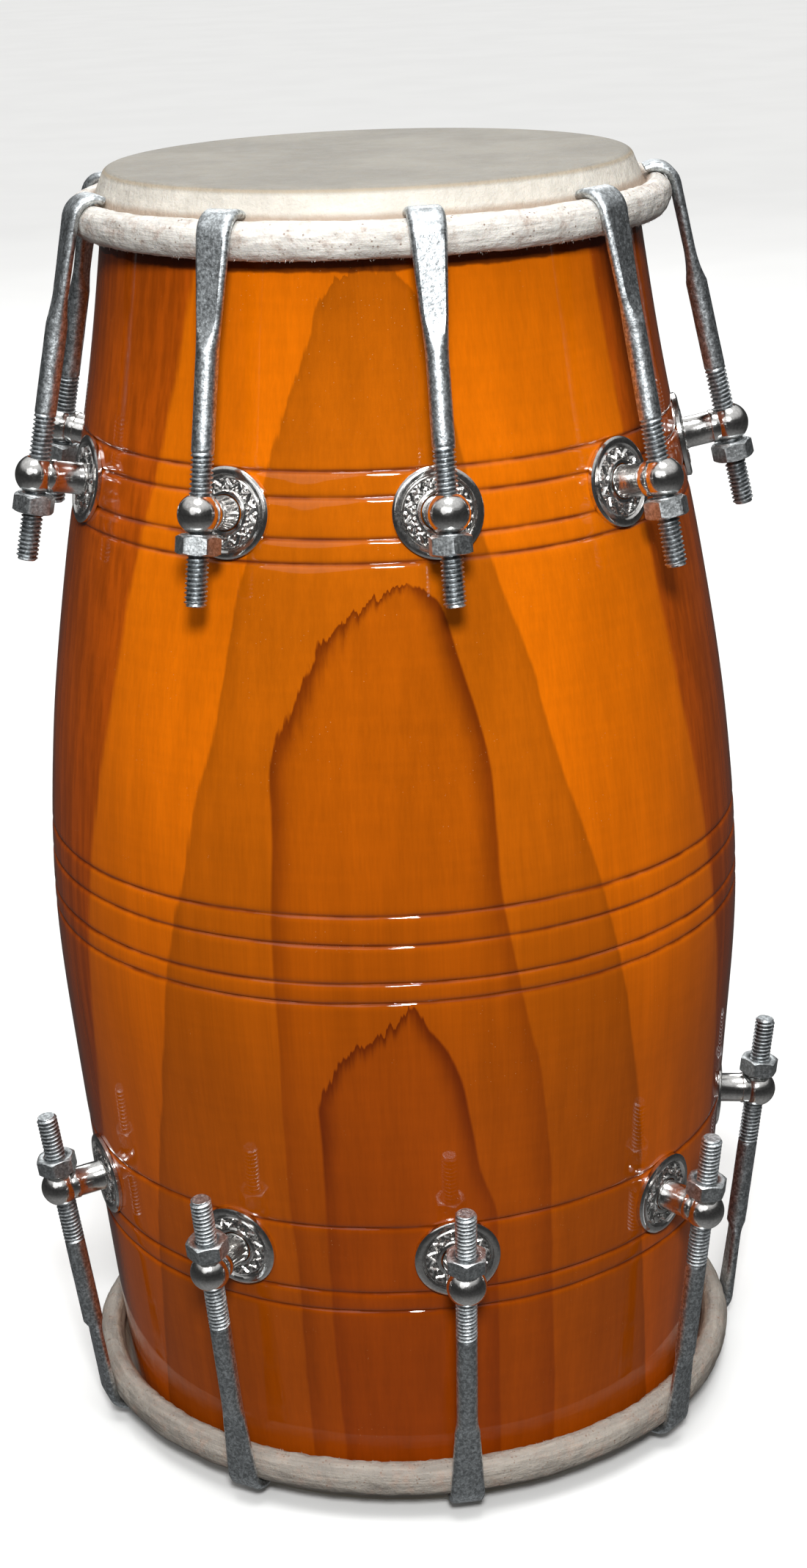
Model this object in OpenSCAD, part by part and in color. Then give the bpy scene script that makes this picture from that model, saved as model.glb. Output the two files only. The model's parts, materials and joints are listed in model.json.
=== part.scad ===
// Bolt-tuned two-headed barrel drum (dholak), standing on its bass head.
// Origin: centre of the bass head's outer face. +Z runs up the drum's axis to the treble head.
// Station 1 of each ring of hooks faces about -Y, and the stations count anticlockwise from above.

/* [Shell] */
// Height of the drum over both skins
drum_h = 393; // [380:1:405]
// Radii of the wood at the bass end and the three stations above it, evenly spaced up the axis
bass_radii = [93, 98.6, 103.5, 107.2]; // [90:0.1:110]
// Radii of the wood at the next three stations and at the treble end
treble_radii = [103.9, 95.5, 84.5, 76.2]; // [74:0.1:110]
// Thickness of the wooden wall
wall = 12; // [10:0.5:14]
// Rounding of the bearing edges that the skins are drawn over
edge_round = 2; // [1:0.5:3]
// Heights of the four turned lines near the bass end
bass_lines = [69, 75.5, 90.5, 98]; // [60:0.5:110]
// Heights of the four turned lines round the belly
belly_lines = [171, 177, 188.5, 197]; // [160:0.5:210]
// Heights of the four turned lines near the treble end
treble_lines = [294.5, 301, 312, 319]; // [285:0.5:330]
// Depth of a turned line
line_depth = 0.7; // [0.3:0.1:1]

/* [Heads] */
// Thickness of the skins
skin_t = 0.8; // [0.6:0.1:1.2]
// Angle by which the skin leaves the drum's side as it runs down to its hoop
skirt_lean = 23; // [20:1:26]
// Depth of the crease between the skirt and the rolled edge, below the head
crease_depth = 9.5; // [9:0.5:10]
// Radial distance from the wood's end radius to the middle of the hoop
hoop_offset = 7.5; // [7:0.1:8]
// Depth of the middle of the hoop below the head
hoop_depth = 12.9; // [12.5:0.1:13.5]
// Radial width of the skin rolled round the hoop
roll_w = 8.5; // [8:0.1:9]
// Height of the skin rolled round the hoop
roll_h = 10.4; // [9.5:0.1:11]
// Diameter of the steel hoop inside the roll
hoop_wire = 5; // [4:0.5:5]
// Radius of the tuning paste inside the bass head
paste_r = 45; // [30:1:60]
// Thickness of the tuning paste at its middle
paste_t = 3; // [1:0.5:5]

/* [Hooks and rods] */
// Number of tuning hooks on each head
hooks = 9; // [9]
// How far round each treble hook stands from even spacing, in degrees
treble_strays = [0, -2, 0, 0, 0, 0, 0, 0, 2.5]; // [-8:0.5:8]
// How far round each bass hook stands from even spacing, in degrees
bass_strays = [-2, 0, 4, 0, 0, 0, -8, 2, 0]; // [-8:0.5:8]
// Height of the middle of the treble posts on the wood
treble_post_z = 307.2; // [300:0.1:312]
// Height of the middle of the bass posts on the wood
bass_post_z = 87.3; // [84:0.1:92]
// Diameter of the threaded rods (1/4 inch, 20 threads to the inch)
rod_d = 6.35; // [6.35]
// Pitch of the rods' thread
rod_pitch = 1.27; // [1.27]
// Length of rod on the free side of the post's bore
rod_tail = 25; // [22:0.5:28]
// Length of the forged flat, measured down from the hook's bend
flat_l = 32; // [26:1:36]
// Thickness of the forged flat
flat_t = 3; // [2.5:0.1:3.5]
// Width of the forged flat at the hook
flat_w = 10.4; // [9:0.1:12]
// Inside radius of the hook's bend
bend_r = 4.7; // [4.5:0.1:5]
// Angle that the hook's bend turns through
bend_turn = 105; // [95:1:108]

/* [Posts and nuts] */
// Distance from the wood to the middle of the rod's bore in the post
post_reach = 14.8; // [14:0.1:16]
// Diameter of the post's shank
shank_d = 9.3; // [9:0.1:9.4]
// Diameter of the post's round end
knob_d = 11.8; // [11.4:0.1:12]
// Diameter of the bore through the post's round end
post_bore_d = 6.6; // [6.5:0.05:6.8]
// Diameter of the stud that goes through the wood
stud_d = 6.2; // [6:0.1:6.3]
// Diameter of the rosette under the post
rosette_d = 25.4; // [24:0.1:27]
// Thickness of the rosette's sheet
rosette_t = 1.1; // [0.8:0.1:1.4]
// Width across the flats of a tuning nut
nut_af = 11.1; // [11:0.1:12.7]
// Thickness of a tuning nut
nut_t = 5.6; // [5:0.1:6.5]
// Width across the flats of a nut inside the drum
inner_nut_af = 11; // [10:0.5:12]

/* [Hidden] */
$fn = 64;

WOOD = "darkorange";
SKIN = "antiquewhite";
ZINC = "slategray";
NICKEL = "silver";
TAR = "black";

seat_gap = 0.05;      // play between parts that are pressed or screwed together
hook_gap = 0.3;       // play between a hook and the roll that it pulls on
far = 2;              // how far a cutting shape runs past what it cuts
skin_bend = edge_round + skin_t + seat_gap;
radii = concat(bass_radii, treble_radii);
station_gap = drum_h / (len(radii) - 1);
azimuth_step = 360 / hooks;
nut_seat = 5.4;       // distance from the bore's middle to the tuning nut's face
washer_d = 19;
washer_t = 1.5;
inner_nut_t = 5;
bulge = 0.6;          // how far the middle of the round end lies beyond the rod's axis
neck_step = 0.6;      // how much thicker a post is just under its round end
foot_gap = 0.2;       // how far the foot of a shank stands clear of the rosette's sheet
stud_play = 0.4;      // how much wider the holes for the studs are than the studs
hook_axis = roll_w / 2 + hook_gap + flat_t / 2 + seat_gap;

// Points of an oval w wide and h high about (cx, cy), from angle a0 to angle a1 in n steps
function oval(cx, cy, w, h, a0, a1, n) =
    [for (i = [0:n]) let (a = a0 + (a1 - a0) * i / n) [cx + w / 2 * cos(a), cy + h / 2 * sin(a)]];

// Points of an arc of radius r, in the same way
function arc(cx, cy, r, a0, a1, n) = oval(cx, cy, 2 * r, 2 * r, a0, a1, n);

// Radius at station i, carried on in a straight line past either end
function station(i) =
    let (last = len(radii) - 1)
    i < 0 ? 2 * radii[0] - radii[1] : i > last ? 2 * radii[last] - radii[last - 1] : radii[i];

// Outer radius of the wood at height z: one smooth curve through every station
function wood_r(z) =
    let (
        i = min(max(floor(z / station_gap), 0), len(radii) - 2),
        t = z / station_gap - i,
        a = station(i - 1), b = station(i), c = station(i + 1), d = station(i + 2)
    )
    b + 0.5 * t * (c - a + t * (2 * a - 5 * b + 4 * c - d + t * (3 * (b - c) + d - a)));

// Angle by which the wood's surface leans in towards the treble end at height z
function wood_lean(z) = atan((wood_r(z - 1) - wood_r(z + 1)) / 2);

// Where the two rings of posts and their hooks lie. top is true for the treble end.
function post_z(top) = top ? treble_post_z : bass_post_z;
function post_tilt(top) = wood_lean(post_z(top));
function bore_r(top) = wood_r(post_z(top)) + post_reach * cos(post_tilt(top));
function bore_z(top) = post_z(top) + post_reach * sin(post_tilt(top));
function end_r(top) = top ? radii[len(radii) - 1] : radii[0];
function pivot_r(top) = wood_r(top ? drum_h - skin_bend : skin_bend) - edge_round;
function hoop_r(top) = end_r(top) + hoop_offset;
function rise(top) = top ? drum_h - hoop_depth - bore_z(true) : bore_z(false) - hoop_depth;
function reach(top) = norm([bore_r(top) - hoop_r(top), rise(top)]);
function rod_tilt(top) = atan((bore_r(top) - hoop_r(top)) / rise(top)) - asin(hook_axis / reach(top));
function bend_z(top) = sqrt(pow(reach(top), 2) - pow(hook_axis, 2)) + roll_h / 2 + hook_gap - bend_r;

// Direction of post i from the drum's axis. Nothing is marked out by a jig, so some stand a little off.
function azimuth(top, i) = azimuth_step * (i - 1) - 90 + (top ? treble_strays : bass_strays)[i - 1];

// Depth of a washer's face below the foot of its post. It bears on the curved wall with its edges.
function washer_seat(top) =
    let (hollow_r = wood_r(post_z(top)) - wall)
    wall + hollow_r - sqrt(pow(hollow_r, 2) - pow(washer_d / 2, 2)) + 2 * seat_gap;

// Puts the children at the foot of every post, with +Z pointing straight out of the wood
module at_posts(top)
    for (i = [1:hooks])
        rotate([0, 0, azimuth(top, i)])
            translate([wood_r(post_z(top)), 0, post_z(top)])
                rotate([0, 90 - post_tilt(top), 0])
                    children();

// Puts the children in the bore of post i, with +Z along the rod towards the hook
module at_rod(top, i)
    rotate([0, 0, azimuth(top, i)])
        translate([bore_r(top), 0, bore_z(top)])
            mirror([0, 0, top ? 0 : 1])
                rotate([0, -rod_tilt(top), 0])
                    children();

// The same, at every post
module at_rods(top)
    for (i = [1:hooks])
        at_rod(top, i)
            children();

// Turns a profile that is drawn as (radius, depth below the head) into a solid at either end
module head_solid(top)
    translate([0, 0, top ? drum_h : 0])
        mirror([0, 0, top ? 1 : 0])
            rotate_extrude($fn = 180)
                children();

// A round sheet of thickness t, bent like the wood under a post, with its foot on the wood
module bent_disc(top, d, t) {
    bend = wood_r(post_z(top)) / cos(post_tilt(top));
    intersection() {
        cylinder(h = wall, d = d, center = true);
        translate([0, 0, -bend])
            rotate([0, 90, 0])
                difference() {
                    cylinder(h = 2 * d, r = bend + seat_gap + t, center = true, $fn = 180);
                    cylinder(h = 3 * d, r = bend + seat_gap, center = true, $fn = 180);
                }
    }
}

// A hexagon of a given width across its flats, with its outer corners chamfered
module hex_nut(af, t, bore) {
    corner_r = af / 2 / cos(30);
    chamfer = corner_r - af / 2;
    difference() {
        intersection() {
            cylinder(h = t, r = corner_r, $fn = 6);
            rotate_extrude()
                polygon([
                    [0, 0], [af / 2, 0], [corner_r, chamfer],
                    [corner_r, t - chamfer], [af / 2, t], [0, t]
                ]);
        }
        translate([0, 0, -far])
            cylinder(h = t + 2 * far, d = bore);
    }
}

// One block of wood, turned outside and hollowed right through
module shell() {
    foot = skin_t + seat_gap;
    bands = 26;
    z0 = skin_bend;
    z1 = drum_h - skin_bend;
    side = [for (i = [0:bands]) let (z = z0 + (z1 - z0) * i / bands) [wood_r(z), z]];
    bore = [for (i = [bands:-1:0]) let (z = foot + (drum_h - 2 * foot) * i / bands) [wood_r(z) - wall, z]];
    outline = concat(
        arc(pivot_r(false), z0, edge_round, -90, -15, 5), side,
        arc(pivot_r(true), z1, edge_round, 15, 90, 5), bore
    );
    color(WOOD)
        difference() {
            rotate_extrude($fn = 180)
                difference() {
                    polygon(outline);
                    for (z = concat(bass_lines, belly_lines, treble_lines))
                        translate([wood_r(z), z])
                            circle(r = line_depth, $fn = 4);
                }
            for (top = [true, false])
                at_posts(top)
                    translate([0, 0, -2 * wall])
                        cylinder(h = 3 * wall, d = stud_d + stud_play);
        }
}

// A skin: the head, the skirt down to the hoop, and the edge rolled round the hoop.
// The roll is open on the side that faces the wood.
module skin(top) {
    pivot = pivot_r(top);
    ring = hoop_r(top);
    crease_a = -135;  // where the roll starts, over its top
    hem_a = 165;      // where it ends, facing the wood
    lining_a = -160;  // where its lining leaves the hoop
    lip = arc(pivot, skin_bend, skin_bend, -90, -skirt_lean, 6);
    crease_r = lip[6][0] + (crease_depth - lip[6][1]) * tan(skirt_lean);
    roll = oval(ring, hoop_depth, roll_w, roll_h, crease_a, hem_a, 26);
    lining = arc(ring, hoop_depth, hoop_wire / 2 + seat_gap, hem_a, lining_a, 26);
    back = arc(pivot, skin_bend, edge_round + seat_gap, -skirt_lean, -90, 6);
    color(SKIN)
        head_solid(top)
            polygon(concat(
                [[0, 0]], lip, [[crease_r, crease_depth]], roll,
                lining, [[crease_r - skin_t, crease_depth + skin_t / 2]], back, [[0, skin_t]]
            ));
}

// Steel ring inside the rolled edge of a skin
module hoop(top)
    color(ZINC)
        head_solid(top)
            translate([hoop_r(top), hoop_depth])
                circle(d = hoop_wire, $fn = 32);

// Patch of tuning paste on the inside of the bass head
module bass_paste()
    color(TAR)
        head_solid(false)
            polygon([
                [0, skin_t], [paste_r, skin_t], [paste_r, skin_t + paste_t / 3],
                [paste_r * 0.8, skin_t + paste_t * 0.8], [0, skin_t + paste_t]
            ]);

// Hooked rod: a round rod whose end is forged flat and bent over the roll
module hook(top) {
    top_z = bend_z(top);
    root_z = top_z - flat_l;
    blend = 12;
    inside_x = -flat_t / 2 - bend_r;
    edge = concat(
        [[flat_t / 2, root_z]],
        arc(inside_x, top_z, bend_r + flat_t, 0, bend_turn, 12),
        arc(inside_x, top_z, bend_r, bend_turn, 0, 12),
        [[-flat_t / 2, root_z]]
    );
    color(ZINC)
        union() {
            translate([0, 0, -rod_tail])
                cylinder(h = rod_pitch, d1 = rod_d - rod_pitch, d2 = rod_d);
            translate([0, 0, rod_pitch - rod_tail])
                cylinder(h = rod_tail + root_z - rod_pitch, d = rod_d);
            intersection() {
                translate([0, 0, root_z])
                    cylinder(h = blend, d = rod_d);
                rotate([90, 0, 0])
                    linear_extrude(height = 2 * rod_d, center = true)
                        polygon([
                            [-rod_d / 2, root_z], [rod_d / 2, root_z],
                            [flat_t / 2, root_z + blend], [-flat_t / 2, root_z + blend]
                        ]);
            }
            intersection() {
                rotate([90, 0, 0])
                    linear_extrude(height = 2 * flat_w, center = true)
                        polygon(edge);
                rotate([90, 0, 90])
                    linear_extrude(height = 8 * bend_r, center = true)
                        polygon([
                            [-rod_d / 4, root_z], [rod_d / 4, root_z],
                            [flat_w / 2, top_z], [flat_w / 2, top_z + 2 * bend_r + flat_t],
                            [-flat_w / 2, top_z + 2 * bend_r + flat_t], [-flat_w / 2, top_z]
                        ]);
            }
        }
}

// Tuning nut, screwed up the rod's tail against the post
module tuning_nut()
    color(ZINC)
        translate([0, 0, -nut_seat - nut_t])
            hex_nut(nut_af, nut_t, rod_d + 2 * seat_gap);

// Posts: a stud through the wood, a shank, and a round end that the rod passes through
module posts(top)
    color(NICKEL)
        difference() {
            at_posts(top) {
                translate([0, 0, -washer_seat(top) - washer_t - inner_nut_t - far])
                    cylinder(h = washer_seat(top) + washer_t + inner_nut_t + 2 * far, d = stud_d);
                translate([0, 0, rosette_t + foot_gap])
                    cylinder(h = post_reach - rosette_t - foot_gap, d = shank_d);
                translate([0, 0, 2 * post_reach / 3])
                    cylinder(h = post_reach / 3 + bulge, d = shank_d + neck_step);
                translate([0, 0, post_reach + bulge])
                    sphere(d = knob_d);
            }
            at_rods(top)
                translate([0, 0, -knob_d])
                    cylinder(h = 2 * knob_d, d = post_bore_d);
        }

// Rosettes: round sheet-metal covers, curved to the wood, with a raised rim and collar
module rosettes(top) {
    rim_w = 2;
    collar_d = 13.5;
    raised = 0.6;
    color(NICKEL)
        at_posts(top)
            difference() {
                union() {
                    bent_disc(top, rosette_d, rosette_t);
                    difference() {
                        bent_disc(top, rosette_d, rosette_t + raised);
                        cylinder(h = 2 * wall, d = rosette_d - 2 * rim_w, center = true);
                    }
                    bent_disc(top, collar_d, rosette_t + raised);
                }
                cylinder(h = 2 * wall, d = shank_d + 4 * seat_gap, center = true);
            }
}

// Flat washers under the nuts inside the drum
module washers(top)
    color(ZINC)
        at_posts(top)
            translate([0, 0, -washer_seat(top) - washer_t])
                difference() {
                    cylinder(h = washer_t, d = washer_d);
                    translate([0, 0, -far])
                        cylinder(h = washer_t + 2 * far, d = stud_d + stud_play);
                }

// Nuts on the studs inside the drum
module inner_nuts(top)
    color(ZINC)
        at_posts(top)
            translate([0, 0, -washer_seat(top) - washer_t - inner_nut_t - seat_gap])
                hex_nut(inner_nut_af, inner_nut_t, stud_d + 2 * seat_gap);

shell();
skin(true);  // treble_skin
skin(false);  // bass_skin
hoop(true);  // treble_hoop
hoop(false);  // bass_hoop
bass_paste();
posts(true);  // treble_posts
posts(false);  // bass_posts
rosettes(true);  // treble_rosettes
rosettes(false);  // bass_rosettes
washers(true);  // treble_washers
washers(false);  // bass_washers
inner_nuts(true);  // treble_inner_nuts
inner_nuts(false);  // bass_inner_nuts
for (i = [1:hooks]) {
    at_rod(true, i) hook(true);
    at_rod(false, i) hook(false);
    at_rod(true, i) tuning_nut();
    at_rod(false, i) tuning_nut();
}
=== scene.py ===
import json
import math
import random

import bmesh
import bpy
import numpy as np
from mathutils import Matrix, Vector, noise


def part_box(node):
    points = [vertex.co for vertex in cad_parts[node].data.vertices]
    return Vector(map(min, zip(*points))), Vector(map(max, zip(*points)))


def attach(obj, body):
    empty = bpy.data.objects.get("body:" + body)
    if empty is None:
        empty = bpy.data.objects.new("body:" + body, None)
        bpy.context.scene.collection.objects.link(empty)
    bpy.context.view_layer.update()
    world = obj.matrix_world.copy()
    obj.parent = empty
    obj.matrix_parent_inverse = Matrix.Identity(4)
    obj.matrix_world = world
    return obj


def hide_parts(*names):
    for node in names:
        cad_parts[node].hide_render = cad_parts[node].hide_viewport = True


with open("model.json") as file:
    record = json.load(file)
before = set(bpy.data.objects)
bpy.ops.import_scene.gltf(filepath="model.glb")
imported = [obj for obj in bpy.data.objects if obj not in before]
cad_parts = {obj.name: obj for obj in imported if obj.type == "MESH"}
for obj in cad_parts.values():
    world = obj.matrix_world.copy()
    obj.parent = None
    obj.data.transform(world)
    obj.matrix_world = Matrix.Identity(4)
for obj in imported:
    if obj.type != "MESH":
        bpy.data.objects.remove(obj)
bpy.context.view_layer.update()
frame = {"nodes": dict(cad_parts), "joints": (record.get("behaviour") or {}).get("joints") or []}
scene = bpy.context.scene

# ------------------------------------------------------------------ measures
# Lengths are in millimetres and become metres only when a mesh is made.
MM = 0.001
ENDS = ("treble", "bass")
STATIONS = range(1, 10)

drum_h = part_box("treble_skin")[1].z / MM
joints = {joint["name"]: joint for joint in frame["joints"]}

# Sizes that part.scad gives as driving dimensions
WALL = 12.0
EDGE_ROUND = 2.0
SKIN_T = 0.8
SEAT_GAP = 0.05
LINE_DEPTH = 0.7
SKIRT_LEAN = math.radians(23)
CREASE_DEPTH = 9.5
ROD_R = 6.35 / 2
PITCH = 1.27
ROD_TAIL = 25.0
FLAT_L = 32.0
FLAT_T = 3.0
FLAT_W = 10.4
BEND_R = 4.7
BEND_TURN = math.radians(105)
POST_REACH = 14.8
SHANK_R = 9.3 / 2
KNOB_R = 11.8 / 2
BULGE = 0.6
BORE_R = 6.6 / 2
STUD_R = 6.2 / 2
STUD_L = 21.0
NUT_SEAT = 5.4
NUT_AF = 11.1
NUT_T = 5.6
ROSETTE_R = 25.4 / 2
ROSETTE_T = 1.1

SKIN_BEND = EDGE_ROUND + SKIN_T + SEAT_GAP

# Fineness of the meshes: points round the drum or a rod, and rows along a hook
SHELL_SIDES = 400
HIDE_SIDES = 420
HEAD_RINGS = 18
TUFTS = 900
RING = 28
SHAFT_ROWS = 7
FLAT_ROWS = 26
BEND_ROWS = 18
NUT_SIDES = 96


def outer_rings():
    """Height and radius of each ring of points on the outside of the CAD shell, from the foot up."""
    rings = {}
    for vertex in frame["nodes"]["shell"].data.vertices:
        height = round(vertex.co.z / MM, 1)
        rings.setdefault(height, []).append(vertex.co.xy.length / MM)
    rings = sorted((z, max(radii)) for z, radii in rings.items() if len(radii) > 60)

    def widest_near(z):
        return max(r for other, r in rings if abs(other - z) < WALL)

    return [(z, r) for z, r in rings if r > widest_near(z) - WALL / 2]


def turned_lines(rings):
    """Heights of the turned lines, where one ring lies deeper than the two beside it."""
    near = zip(rings, rings[1:], rings[2:])
    return [z for (_, below), (z, r), (_, above) in near if r < min(below, above) - LINE_DEPTH / 2]


rings = outer_rings()
lines = turned_lines(rings)
plain = [(z, r) for z, r in rings if z not in lines and SKIN_BEND - 0.1 < z < drum_h - SKIN_BEND + 0.1]
heights = np.arange(-20.0, drum_h + 20.0)
radii = np.interp(heights, *zip(*plain))
# Past the last ring at each end the outline runs on straight
for beyond, last, before in (
    (heights < plain[0][0], plain[0], plain[1]),
    (heights > plain[-1][0], plain[-1], plain[-2]),
):
    slope = (before[1] - last[1]) / (before[0] - last[0])
    radii[beyond] = last[1] + slope * (heights[beyond] - last[0])
# Two moving averages take away the facets between the rings
REACH = 6
window = np.ones(2 * REACH + 1) / (2 * REACH + 1)
for _ in range(2):
    radii = np.convolve(np.pad(radii, REACH, mode="reflect", reflect_type="odd"), window, "valid")


def wood_r(z):
    """Outer radius of the wood at height z, as one smooth curve."""
    return float(np.interp(z, heights, radii))


def wood_lean(z):
    """Angle by which the wood leans in towards the treble end at height z."""
    return math.atan((wood_r(z - 4) - wood_r(z + 4)) / 8)


def arc(cx, cy, radius, start, end, steps):
    """Points of a circle round (cx, cy), from angle start to angle end, in degrees."""
    angles = [math.radians(start + (end - start) * i / steps) for i in range(steps + 1)]
    return [(cx + radius * math.cos(a), cy + radius * math.sin(a)) for a in angles]


def full_turn(count):
    """Angles of count even steps round a circle."""
    return [math.tau * i / count for i in range(count)]


def polar(r, azimuth, z):
    """The point at radius r and height z in the direction azimuth."""
    return r * math.cos(azimuth), r * math.sin(azimuth), z


def ramp(value, low, high):
    """0 up to low and 1 from high on, with a smooth rise between them."""
    t = min(max((value - low) / (high - low), 0.0), 1.0)
    return t * t * (3 - 2 * t)


def ripple(azimuth, height, scale, seed=0.0):
    """Smooth noise from -1 to 1 round the drum, which closes on itself. scale is in waves a radian."""
    at = Vector((scale * math.cos(azimuth), scale * math.sin(azimuth), height + seed))
    return noise.noise(at)


# -------------------------------------------------------------- mesh helpers
def quads(rows, count, closed=False):
    """Faces between rows of count points that run round a ring. closed joins the last row to the first."""
    faces = []
    for row in range(rows if closed else rows - 1):
        above = (row + 1) % rows
        for i in range(count):
            j = (i + 1) % count
            faces.append((row * count + i, row * count + j, above * count + j, above * count + i))
    return faces


def tidy(obj, crease):
    """Joins points that coincide, turns every face outwards and keeps only true corners sharp."""
    mesh = bmesh.new()
    mesh.from_mesh(obj.data)
    bmesh.ops.remove_doubles(mesh, verts=mesh.verts, dist=2e-6)
    bmesh.ops.dissolve_degenerate(mesh, edges=mesh.edges, dist=1e-6)
    bmesh.ops.recalc_face_normals(mesh, faces=mesh.faces)
    for face in mesh.faces:
        face.smooth = True
    for edge in mesh.edges:
        edge.smooth = edge.calc_face_angle(0) < math.radians(crease)
    mesh.to_mesh(obj.data)
    mesh.free()


def new_mesh(name, points, faces, crease=38):
    """A tidied mesh object in the row frame, from points in millimetres."""
    mesh = bpy.data.meshes.new(name)
    mesh.from_pydata([(x * MM, y * MM, z * MM) for x, y, z in points], [], faces)
    obj = bpy.data.objects.new(name, mesh)
    scene.collection.objects.link(obj)
    tidy(obj, crease)
    return obj


def apply_modifiers(obj):
    """Swaps the object's mesh for the one that its modifiers make."""
    graph = bpy.context.evaluated_depsgraph_get()
    mesh = bpy.data.meshes.new_from_object(obj.evaluated_get(graph))
    obj.modifiers.clear()
    obj.data = mesh


def drill(obj, cutter):
    """Cuts cutter's shape out of obj and removes the cutter."""
    cut = obj.modifiers.new("drill", "BOOLEAN")
    cut.object = cutter
    cut.operation = "DIFFERENCE"
    cut.solver = "EXACT"
    apply_modifiers(obj)
    bpy.data.objects.remove(cutter)


def repeated(points, faces, matrices):
    """The same points and faces, once for each matrix."""
    all_points = [matrix @ Vector(point) for matrix in matrices for point in points]
    starts = [copy * len(points) for copy in range(len(matrices))]
    return all_points, [tuple(i + start for i in face) for start in starts for face in faces]


def mesh_data(obj):
    """An object's points in millimetres, and its faces."""
    points = [vertex.co / MM for vertex in obj.data.vertices]
    return points, [tuple(face.vertices) for face in obj.data.polygons]


def turned(profile, count):
    """Points and faces of a profile of (radius, height) turned about Z."""
    points = [polar(r, a, h) for r, h in profile for a in full_turn(count)]
    return points, quads(len(profile), count)


def store(obj, name, value_at):
    """Stores a number at each point of a mesh for its material to read, from its place in millimetres."""
    layer = obj.data.attributes.new(name, "FLOAT", "POINT")
    for vertex, item in zip(obj.data.vertices, layer.data):
        item.value = value_at(vertex.co / MM)


def install(obj, body, material, nodes):
    """Makes obj one of the drum's pieces: its finish, what it moves with and what it stands for."""
    obj.data.materials.clear()
    obj.data.materials.append(material)
    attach(obj, body)
    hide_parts(*nodes)
    return obj


# ------------------------------------------------------------ where units lie
UP = Vector((0, 0, 1))


def outward(azimuth):
    return Vector((math.cos(azimuth), math.sin(azimuth), 0))


def swing(a, b, angle):
    """Two vectors at a right angle, both turned by angle in their plane, a away from b."""
    return math.cos(angle) * a - math.sin(angle) * b, math.sin(angle) * a + math.cos(angle) * b


def placed(origin, x_axis, z_axis):
    """The frame with this origin, +X and +Z."""
    turn = Matrix((x_axis, z_axis.cross(x_axis), z_axis)).transposed()
    return Matrix.Translation(origin) @ turn.to_4x4()


def rod_frame(end, station):
    """Frame of one rod: origin in the bore of its post, +Z towards the hook, +X away from the drum."""
    joint = joints[f"{end}_nut_{station}_turn"]
    along = -Vector(joint["axis"])
    bore = Vector(joint["pos_m"]) / MM + (NUT_SEAT + NUT_T / 2) * along
    radial = outward(math.atan2(bore.y, bore.x))
    return placed(bore, (radial - radial.dot(along) * along).normalized(), along)


def post_frame(end, station):
    """Frame of one post: origin on the wood, +Z out along the post, +X up the drum's side."""
    bore = rod_frame(end, station).translation
    radial = outward(math.atan2(bore.y, bore.x))
    foot_z = bore.z
    for _ in range(5):
        foot_z = bore.z - POST_REACH * math.sin(wood_lean(foot_z))
    x_axis, z_axis = swing(UP, radial, wood_lean(foot_z))
    return placed(bore - POST_REACH * z_axis, x_axis, z_axis)


def hide_radii(end):
    """Radii of a hide where it bends over the wood's edge and where its skirt meets the roll."""
    pivot = wood_r(drum_h - SKIN_BEND if end == "treble" else SKIN_BEND) - EDGE_ROUND
    straight = CREASE_DEPTH - SKIN_BEND * (1 - math.sin(SKIRT_LEAN))
    return pivot, pivot + SKIN_BEND * math.cos(SKIRT_LEAN) + straight * math.tan(SKIRT_LEAN)


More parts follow.
